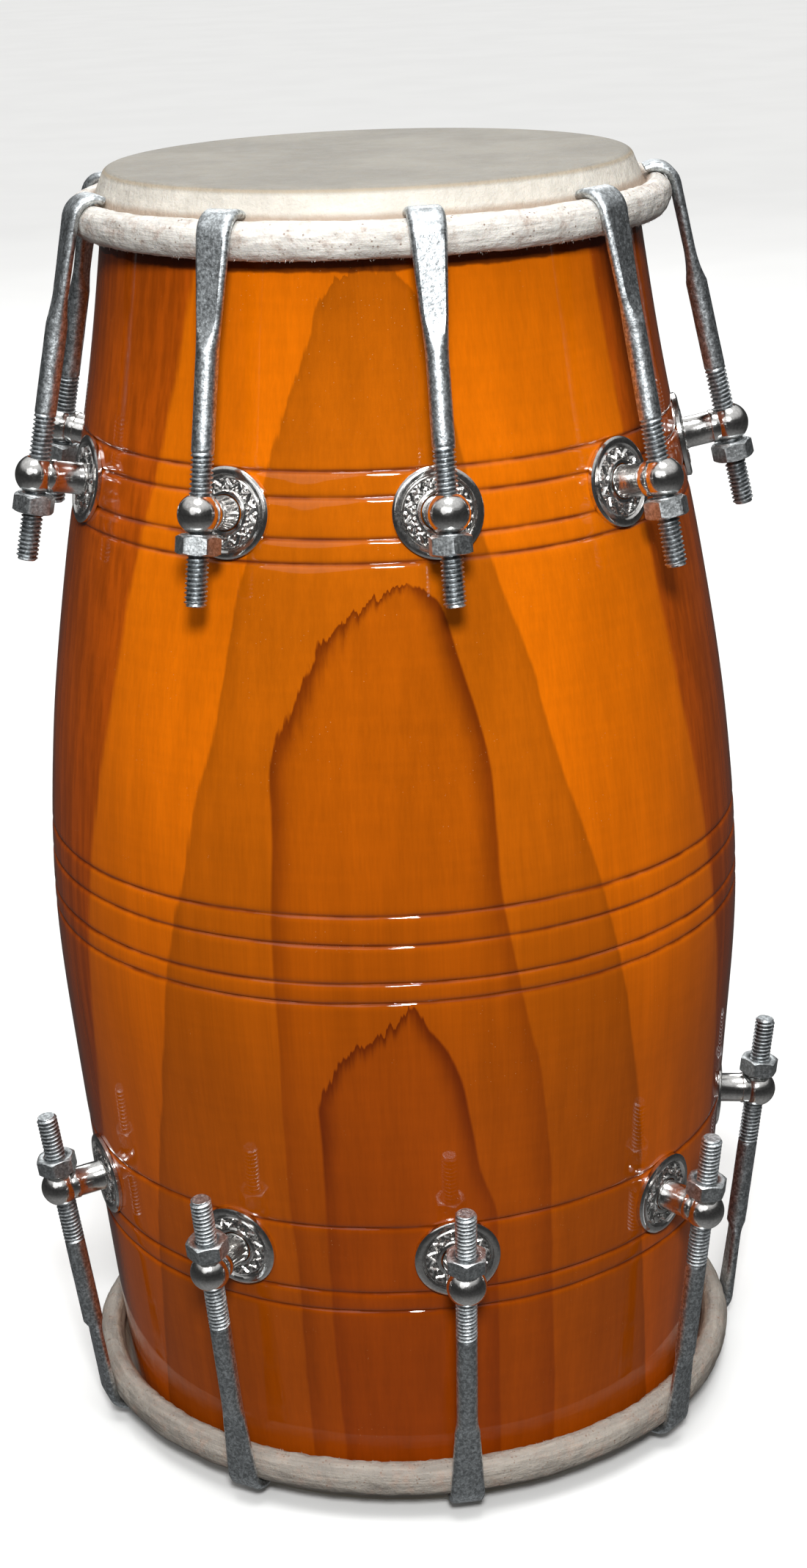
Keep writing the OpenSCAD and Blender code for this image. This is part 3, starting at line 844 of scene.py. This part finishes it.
def forged_hook(end, station, rng):
    """A rod threaded at its tail, forged flat over its upper part and bent over the roll."""
    name = f"{end}_hook_{station}"
    low, high = (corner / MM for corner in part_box(name))
    place = rod_frame(end, station)
    crown = max(abs(high.z - place.translation.z), abs(low.z - place.translation.z))
    tilt = place.to_3x3().col[2].angle(Vector((0, 0, 1 if end == "treble" else -1)))
    # The crown of the bend lies highest, so its height gives the middle of the bend along the rod
    bend_w = (crown - (BEND_R + FLAT_T) + (BEND_R + FLAT_T / 2) * math.sin(tilt)) / math.cos(tilt)
    # The treble hooks' flats run out in long tongues, and the bass hooks' end in short shoulders
    long_flat = end == "treble"
    root_w = bend_w - FLAT_L + (2 if long_flat else 7) + rng.uniform(-1.5, 1.5)
    shoulder = 10.0 if long_flat else 4.0
    thread_end = (17.8 if long_flat else 20.5) + rng.uniform(-0.8, 0.8)
    wide = FLAT_W / 2 + rng.uniform(-0.1, 0.25)
    seed = rng.uniform(0, 90)
    x_axis, y_axis, z_axis = Matrix.Identity(3)

    points, faces = [], []
    rows = threaded_rows(-ROD_TAIL, thread_end)
    for row in rows:
        points += [Vector(polar(r, a, w)) for a, (w, r) in zip(full_turn(RING), row)]
    last = len(rows) - 1
    for row in range(last):
        for i in range(RING - 1):
            at = row * RING + i
            faces.append((at, at + 1, at + RING + 1, at + RING))
        seam, over = row * RING + RING - 1, min(row + 4, last) * RING
        faces.append((seam, over, min(row + 5, last) * RING, seam + RING))
    faces.append(tuple(reversed(range(RING))))

    def dent(w, i):
        small = 0.07 * noise.noise(Vector((seed, w / 3.1, i / 5)))
        return small + 0.05 * noise.noise(Vector((w / 9, seed, i / 9)))

    stations = []
    for i in range(SHAFT_ROWS):
        w = thread_end + 0.05 + (root_w - thread_end - 0.1) * i / (SHAFT_ROWS - 1)
        stations.append((Vector((0, 0, w)), x_axis, PLAIN_R, PLAIN_R, PLAIN_R, w))
    for i in range(1, FLAT_ROWS + 1):
        share = (i / FLAT_ROWS) ** 1.4
        w = root_w + (bend_w - root_w) * share
        flat = 1 - (1 - min((w - root_w) / shoulder, 1.0)) ** 2
        swell = 0.06 if long_flat else 0.22
        spread = swell * ramp(w, root_w, root_w + shoulder) + (1 - swell) * share
        half_w = ROD_R + (wide - ROD_R) * spread
        half_t = ROD_R + (FLAT_T / 2 - ROD_R) * flat
        stations.append((Vector((0, 0, w)), x_axis, half_w, half_t, half_t + 0.85 * flat, w))
    centre_x = -FLAT_T / 2 - BEND_R
    bend_mid = BEND_R + FLAT_T / 2
    for i in range(1, BEND_ROWS + 1):
        a = BEND_TURN * i / BEND_ROWS
        facing = math.cos(a) * x_axis + math.sin(a) * z_axis
        centre = Vector((centre_x, 0, bend_w)) + bend_mid * facing
        half_t = FLAT_T / 2 * (1 - 0.22 * ramp(i, 8, BEND_ROWS))
        half_w = wide + 0.15 * math.sin(math.pi * i / BEND_ROWS)
        stations.append((centre, facing, half_w, half_t, half_t + 0.8, bend_w + bend_mid * a))
    # Two smaller rings round off the hook's tip
    tip_centre, tip_facing, tip_w, tip_t, tip_round, tip_at = stations[-1]
    tip_along = tip_facing.cross(y_axis)
    for back, narrower, thinner in ((0.45, 0.35, 0.3), (0.5, 1.2, 0.75)):
        centre = tip_centre - back * tip_along
        ring = (centre, tip_facing, tip_w - narrower, tip_t - thinner, tip_round - thinner, tip_at)
        stations.append(ring)

    first = len(points)
    for centre, facing, half_w, half_t, round_t, w in stations:
        ring = section(y_axis, facing, half_w, half_t, round_t, centre)
        for i, point in enumerate(ring):
            push = dent(w, min(i, RING - i)) * ramp(w, thread_end, thread_end + 12)
            points.append(point + push * (point - centre).normalized())
    faces += [tuple(i + first for i in face) for face in quads(len(stations), RING)]
    neck = last * RING
    for i in range(RING):
        j = (i + 1) % RING
        faces.append((neck + i, neck + j, first + j, first + i))
    end_ring = first + (len(stations) - 1) * RING
    faces.append(tuple(range(end_ring, end_ring + RING)))

    hook = new_mesh(f"{name}_forged", *repeated(points, faces, [place]), 34)
    into_rod = place.inverted()

    # How deep a point lies in the thread, for the painted shade in its grooves
    def in_groove(at):
        at = into_rod @ at
        return ramp(ROD_R - at.xy.length, 0.15, 0.6) if 1 - ROD_TAIL < at.z < thread_end else 0.0

    store(hook, "groove_shade", in_groove)
    return install(hook, name, hook_steel, [name])


# ------------------------------------------------------------------------ nuts
def hex_r(azimuth):
    """Radius of a hexagon with slightly rounded corners, in the direction azimuth."""
    sharpness = 46
    flats = [max(math.cos(azimuth - math.tau * side / 6), 0.0) ** sharpness for side in range(6)]
    return NUT_AF / 2 / sum(flats) ** (1 / sharpness)


def nut_mesh():
    """A chamfered hexagonal nut with a washer face on the side of the post, as points and faces."""
    top, bottom = -NUT_SEAT, -NUT_SEAT - NUT_T
    cone = math.tan(math.radians(30))
    face_r = NUT_AF / 2 * 0.955
    ledge = top - 0.35
    count = NUT_SIDES
    rows = []

    def ring(radius, w):
        rows.append([(radius, w)] * count)

    def hex_row(share, from_w, sign, inset=0.0):
        """A row from the round face, at share 0, to the hexagon, at share 1, down the chamfer's cone."""
        row = []
        for a in full_turn(count):
            r = face_r + (hex_r(a) - face_r) * share
            row.append((r, from_w + sign * ((r - face_r) * cone + inset)))
        rows.append(row)

    shares = (0.12, 0.5, 0.9, 1.0)
    for radius, w in (
        (ROD_R + SEAT_GAP, top - 0.7), (ROD_R + 0.65, top - 0.05), (ROD_R + 0.75, top),
        (face_r - 0.45, top), (face_r - 0.33, top - 0.1), (face_r - 0.30, ledge + 0.06),
        (face_r - 0.24, ledge), (face_r, ledge),
    ):
        ring(radius, w)
    for share in shares:
        hex_row(share, ledge, -1)
    hex_row(1.0, ledge, -1, inset=0.15)
    hex_row(1.0, bottom, 1, inset=0.15)
    for share in reversed(shares):
        hex_row(share, bottom, 1)
    for radius, w in (
        (face_r - 0.1, bottom), (ROD_R + 0.75, bottom), (ROD_R + 0.65, bottom + 0.05),
        (ROD_R + SEAT_GAP, bottom + 0.7),
    ):
        ring(radius, w)

    points = [polar(r, a, w) for row in rows for a, (r, w) in zip(full_turn(count), row)]
    return points, quads(len(rows), count, closed=True)


def tuning_nut(end, station, shape, rng):
    """One nut on its rod, turned to an angle of its own, since each was tightened by hand."""
    turn = Matrix.Rotation(math.radians(rng.choice((-8, -3, 0, 4, 9)) + 30), 4, "Z")
    name = f"{end}_nut_{station}"
    nut = new_mesh(f"{name}_hex", *repeated(*shape, [rod_frame(end, station) @ turn]), 28)
    return install(nut, name, zinc_plate, [name])


# ----------------------------------------------------------------------- posts
def posts(end):
    """Nine turned posts: a stud, a foot, a shank with a thicker neck, and a round end with its bore."""
    neck_r = SHANK_R + 0.3
    middle = POST_REACH + BULGE
    neck_w = 2 * POST_REACH / 3
    start = -math.degrees(math.acos(neck_r / KNOB_R)) + 3
    knob = arc(0, middle, KNOB_R, start, 90, 22)
    knob[-1] = (0.0, middle + KNOB_R)
    profile = [
        (0.0, -STUD_L), (STUD_R - 0.6, -STUD_L), (STUD_R, -STUD_L + 0.6), (STUD_R, 1.2),
        (SHANK_R - 0.1, 1.3), (SHANK_R + 0.15, 1.45), (SHANK_R + 0.15, 2.4), (SHANK_R, 2.7),
        (SHANK_R, neck_w - 0.1), (SHANK_R + 0.06, neck_w + 0.02), (neck_r - 0.05, neck_w + 0.06),
        (neck_r, neck_w + 0.2), (neck_r, knob[0][1] - 0.5), (neck_r - 0.12, knob[0][1] - 0.15),
    ]
    post = new_mesh("post", *turned(profile + knob, 56), 30)

    place = post_frame(end, 1)
    along = (place.inverted() @ rod_frame(end, 1)).to_3x3().col[2]
    turn = along.to_track_quat("Z", "Y").to_matrix().to_4x4()
    reach = 1.6 * KNOB_R
    edge = 0.35
    bore_w = math.sqrt(KNOB_R ** 2 - BORE_R ** 2)
    bore_profile = [
        (0.0, -reach), (BORE_R + edge + reach - bore_w, -reach), (BORE_R, -bore_w + edge),
        (BORE_R, bore_w - edge), (BORE_R + edge + reach - bore_w, reach), (0.0, reach),
    ]
    centre = Matrix.Translation(Vector((0, 0, POST_REACH))) @ turn
    drill(post, new_mesh("bore", *repeated(*turned(bore_profile, 40), [centre])))
    shape = mesh_data(post)
    bpy.data.objects.remove(post)

    frames = [post_frame(end, station) for station in STATIONS]
    ring = new_mesh(f"{end}_posts_turned", *repeated(*shape, frames), 30)
    return install(ring, "drum", nickel_plate, [f"{end}_posts"])


# -------------------------------------------------------------------- rosettes
# Leaves in the embossed ring, the radii of the ring's middle and of the ridge round it, and a line's width
TEETH = 14
LEAF_R = 7.95
RIDGE_R = 9.75
EMBOSS_W = 0.42


def relief(r, angle):
    """Height of a rosette's embossed face over its sheet, at radius r and an angle."""
    height = 0.55 * ramp(r, ROSETTE_R - 2.5, ROSETTE_R - 2.0)
    height -= 0.5 * ramp(r, ROSETTE_R - 0.7, ROSETTE_R + 0.1)
    height += 0.35 * math.exp(-((r - RIDGE_R) / 0.2) ** 2)
    tooth = angle * TEETH / math.tau % 1.0
    zigzag = LEAF_R + 1.05 * (4 * abs(tooth - 0.5) - 1)
    emboss = 0.8 * math.exp(-((r - zigzag) / EMBOSS_W) ** 2)
    across = r * math.tau / TEETH
    for at_r, at_tooth in ((9.0, 0.5), (6.95, 0.0)):
        gap = (tooth - at_tooth + 0.5) % 1.0 - 0.5
        emboss += 0.5 * math.exp(-(((r - at_r) / EMBOSS_W) ** 2 + (gap * across / 0.55) ** 2))
    height += emboss * ramp(r, 6.2, 6.7) * (1 - ramp(r, 9.3, 9.6))
    height += 0.6 * (1 - ramp(r, 6.0, 6.5))
    return height


def rosettes(end):
    """Nine pressed sheet-metal covers: a flat rim, a fine ridge, a ring of zigzag leaves and a collar."""
    place = post_frame(end, 1)
    bend = wood_r(place.translation.z) / math.cos(wood_lean(place.translation.z))
    hole = SHANK_R + 0.35
    count = 10 * TEETH
    top_radii = [hole, hole + 0.12, 5.7, 6.0, 6.25, 6.5] + [6.7 + 0.23 * i for i in range(13)]
    top_radii += [9.6, 9.75, 9.9, 10.15, 10.4, 10.7, 11.3, 11.9, 12.3, ROSETTE_R - 0.12, ROSETTE_R]
    rows = [(r, True) for r in top_radii] + [(r, False) for r in (ROSETTE_R - 0.05, 10.0, 7.0, hole + 0.1)]
    points = []
    for r, on_top in rows:
        for angle in full_turn(count):
            x, y, _ = polar(r, angle, 0)
            sag = bend - math.sqrt(bend * bend - y * y)
            lift = ROSETTE_T + relief(r, angle) - 0.25 * ramp(hole + 0.1 - r, 0, 0.1) if on_top else SEAT_GAP
            points.append((x, y, lift - sag))
    shape = (points, quads(len(rows), count, closed=True))
    frames = [post_frame(end, station) for station in STATIONS]
    ring = new_mesh(f"{end}_rosettes_embossed", *repeated(*shape, frames), 50)
    return install(ring, "drum", nickel_plate, [f"{end}_rosettes"])


# ------------------------------------------------------------------- assembly
turned_shell()
rolled_hide("treble", treble_hide)
rolled_hide("bass", bass_hide)
nut_shape = nut_mesh()
for end in ENDS:
    rng = random.Random(40 if end == "treble" else 41)
    posts(end)
    rosettes(end)
    for station in STATIONS:
        forged_hook(end, station, rng)
        tuning_nut(end, station, nut_shape, rng)

# The CAD pieces inside the drum keep their shapes and get the finishes of the outer ones
kept_nodes = {"bass_paste": paste_material()}
for end in ENDS:
    kept_nodes[f"{end}_hoop"] = hoop_steel
    kept_nodes[f"{end}_washers"] = zinc_plate
    kept_nodes[f"{end}_inner_nuts"] = zinc_plate
for node, material in kept_nodes.items():
    frame["nodes"][node].data.materials.clear()
    frame["nodes"][node].data.materials.append(material)


# ---------------------------------------------------------------------- studio
def studio_floor():
    """A wide pale floor under the drum, kept out of the drum's reflections and bounced light."""
    half = 14000.0
    corners = [(-half, -half, 0), (half, -half, 0), (half, half, 0), (-half, half, 0)]
    floor = new_mesh("studio_floor", corners, [(0, 1, 2, 3)])
    floor.data.materials.append(floor_material())
    floor.visible_glossy = False
    floor.visible_diffuse = False


def light(name, kind, energy, azimuth, elevation, distance, spread):
    """A light aimed at the drum. spread is an area light's width in metres or a sun's angle in radians."""
    data = bpy.data.lights.new(name, kind)
    data.energy = energy
    if kind == "SUN":
        data.angle = spread
    else:
        data.shape = "DISK"
        data.size = spread
    lamp = bpy.data.objects.new(name, data)
    scene.collection.objects.link(lamp)
    aim = Vector((0, 0, drum_h * MM * 0.6))
    _, away = swing(UP, outward(azimuth), elevation)
    lamp.location = aim + distance * away
    lamp.rotation_euler = away.to_track_quat("Z", "Y").to_euler()


def studio_sky():
    """What surrounds the floor: a dark band at eye level, soft light from above and a little from below."""
    world = bpy.data.worlds.new("studio")
    world.use_nodes = True
    scene.world = world
    tree = world.node_tree
    link = tree.links.new
    kinds = ("TexCoord", "SeparateXYZ", "ValToRGB", "Math", "LightPath", "Mix")
    direction, split, levels, rescale, path, seen = (tree.nodes.new("ShaderNode" + kind) for kind in kinds)
    link(direction.outputs["Generated"], split.inputs[0])
    stops = levels.color_ramp.elements
    # Height of each level as the sine of its elevation, and its brightness
    sky = ((-1.0, 0.24), (-0.45, 0.055), (0.0, 0.03), (0.35, 0.05), (0.62, 0.55), (1.0, 0.85))
    while len(stops) < len(sky):
        stops.new(0.5)
    for stop, (height, level) in zip(stops, sky):
        stop.position = (height + 1) / 2
        stop.color = (level, level, level, 1)
    rescale.operation = "MULTIPLY_ADD"
    rescale.inputs[1].default_value = 0.5
    rescale.inputs[2].default_value = 0.5
    link(split.outputs["Z"], rescale.inputs[0])
    link(rescale.outputs[0], levels.inputs[0])
    # Seen past the floor's edge, the studio is as pale as the floor
    seen.data_type = "RGBA"
    seen.inputs[7].default_value = (0.84, 0.84, 0.83, 1)
    link(path.outputs["Is Camera Ray"], seen.inputs[0])
    link(levels.outputs[0], seen.inputs[6])
    link(seen.outputs[2], tree.nodes["Background"].inputs["Color"])


def camera():
    """The camera: it looks down on the drum from in front, and leans a little to one side."""
    # Angles in radians, distances in metres, and the lens and sensor in millimetres
    yaw, pitch, roll = 0.0044, 0.3322, 0.038
    distance, eye_height = 0.8118, 0.4794
    lens, sensor = 62.84, 36
    toward = -outward(FIGURE_AZIMUTH)
    right = Vector((toward.y, -toward.x, 0))
    level_right, level_ahead = swing(right, toward, yaw)
    ahead, above = swing(level_ahead, UP, pitch)
    x_axis, _ = swing(level_right, above, roll)
    data = bpy.data.cameras.new("camera")
    data.sensor_fit = "VERTICAL"
    data.sensor_height = sensor
    data.lens = lens
    view = bpy.data.objects.new("camera", data)
    view.matrix_world = placed(eye_height * UP - distance * toward, x_axis, -ahead)
    scene.collection.objects.link(view)
    scene.camera = view


studio_floor()
camera()
for name, kind, energy, turn, elevation, distance, spread in (
    ("key", "AREA", 13.6, 0.02, 32, 1.25, 0.22),
    ("overhead", "SUN", 1.45, 0.0, 80, 3.0, math.radians(30)),
    ("back", "AREA", 12.0, math.pi, 35, 2.3, 1.5),
    ("softbox", "AREA", 5.0, -0.5, 30, 2.3, 1.5),
):
    light(name, kind, energy, FIGURE_AZIMUTH + turn, math.radians(elevation), distance, spread)
studio_sky()
scene.view_settings.view_transform = "Standard"
